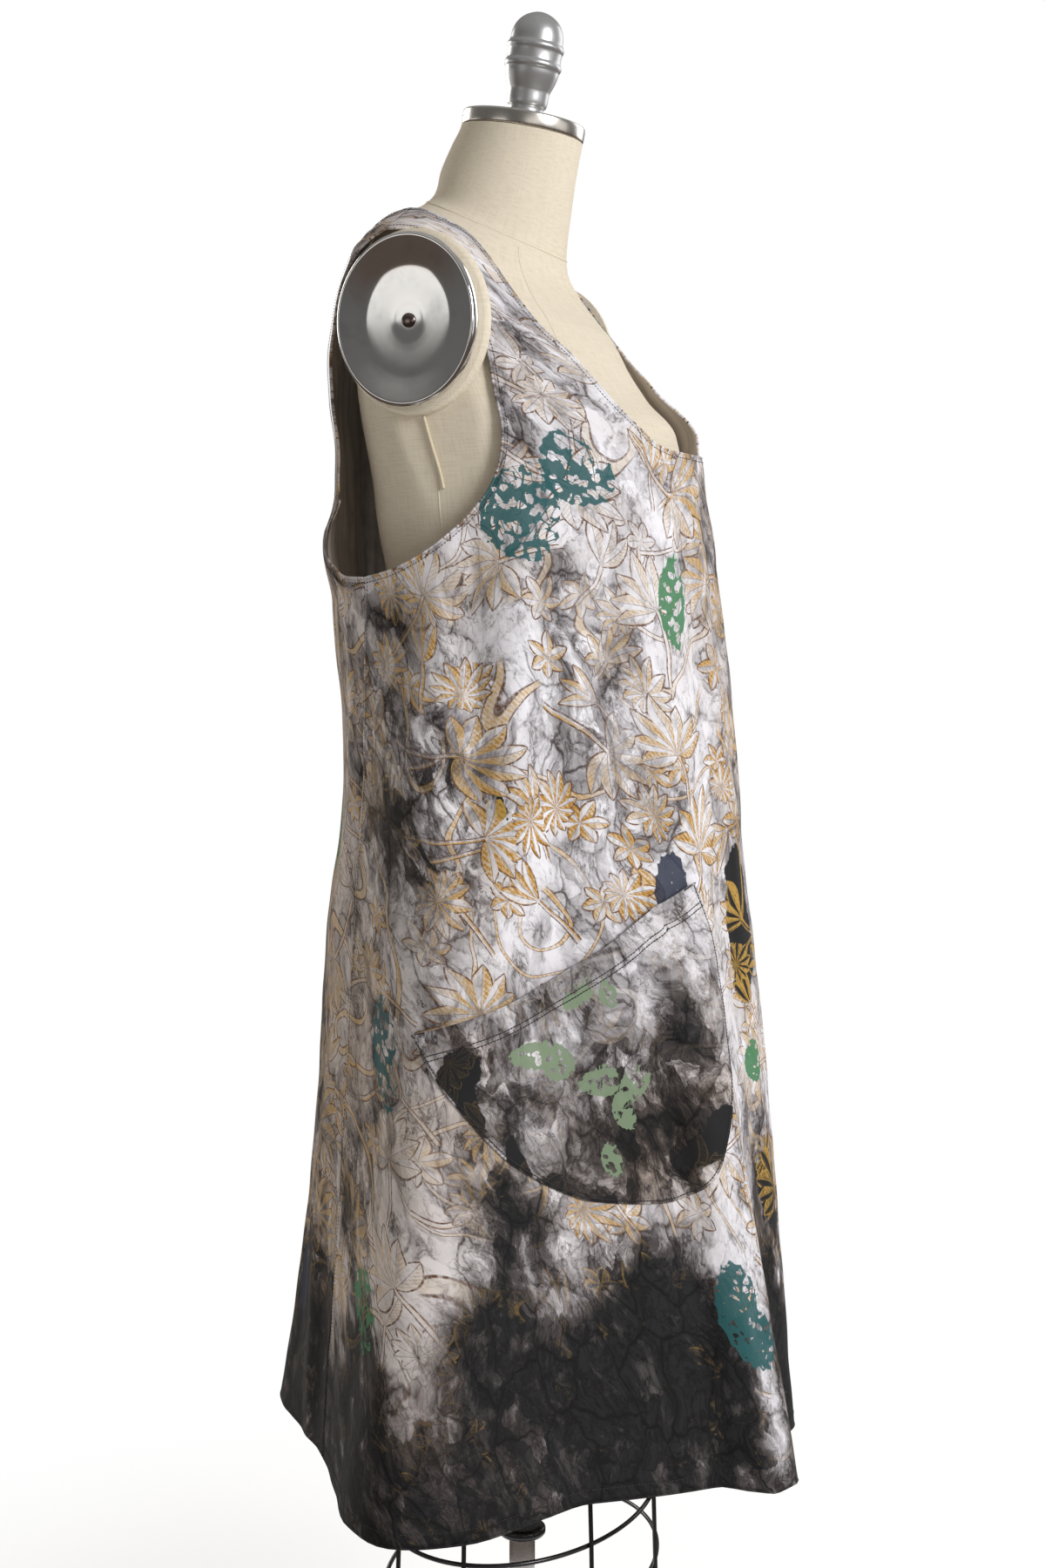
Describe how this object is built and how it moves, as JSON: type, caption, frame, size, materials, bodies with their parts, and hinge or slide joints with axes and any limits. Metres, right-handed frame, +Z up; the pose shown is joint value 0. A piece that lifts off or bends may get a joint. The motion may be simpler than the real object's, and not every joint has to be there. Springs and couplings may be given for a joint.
{
  "type": "apron dress on a dress form",
  "caption": "Sleeveless A-line apron dress with a patch pocket, worn by a limbless linen dress form with arm plates, a turned finial, a wire skirt cage and a pole stand.",
  "frame": {"origin": "middle of the base plate's underside, on the pole's axis", "axes": "+Z up along the pole, -Y the way the wearer faces, -X the wearer's right"},
  "size_m": [0.6917, 0.5212, 1.706],
  "materials": {
    "front_cloth": "crumple-dyed printed cotton",
    "back_cloth": "crumple-dyed printed cotton",
    "pocket_cloth": "dark printed cotton",
    "linen": "plain woven linen, drawn tight",
    "polished_steel": "polished",
    "silver_paint": "satin metallic paint",
    "black_coating": "gloss black coating",
    "cord": "twisted cotton cord"
  },
  "bodies": {
    "root": {"front": "front_cloth", "back": "back_cloth", "pocket_right": "pocket_cloth", "torso": "linen", "neck_ring": "polished_steel", "finial": "silver_paint", "shoulder_cap_right": "linen", "shoulder_cap_left": "linen", "arm_plate_right": "polished_steel", "arm_plate_left": "polished_steel", "plate_screw_right": "silver_paint", "plate_screw_left": "silver_paint", "side_cord": "cord", "support_tube": "black_coating", "collar": "black_coating", "pole": "polished_steel", "base_socket": "black_coating", "base_plate": "black_coating", "cage_hoop_1": "black_coating", "cage_hoop_2": "black_coating", "cage_hoop_3": "black_coating", "cage_hoop_4": "black_coating", "cage_wire_01": "black_coating", "cage_wire_02": "black_coating", "cage_wire_03": "black_coating", "cage_wire_04": "black_coating", "cage_wire_05": "black_coating", "cage_wire_06": "black_coating", "cage_wire_07": "black_coating", "cage_wire_08": "black_coating"}
  },
  "joints": []
}
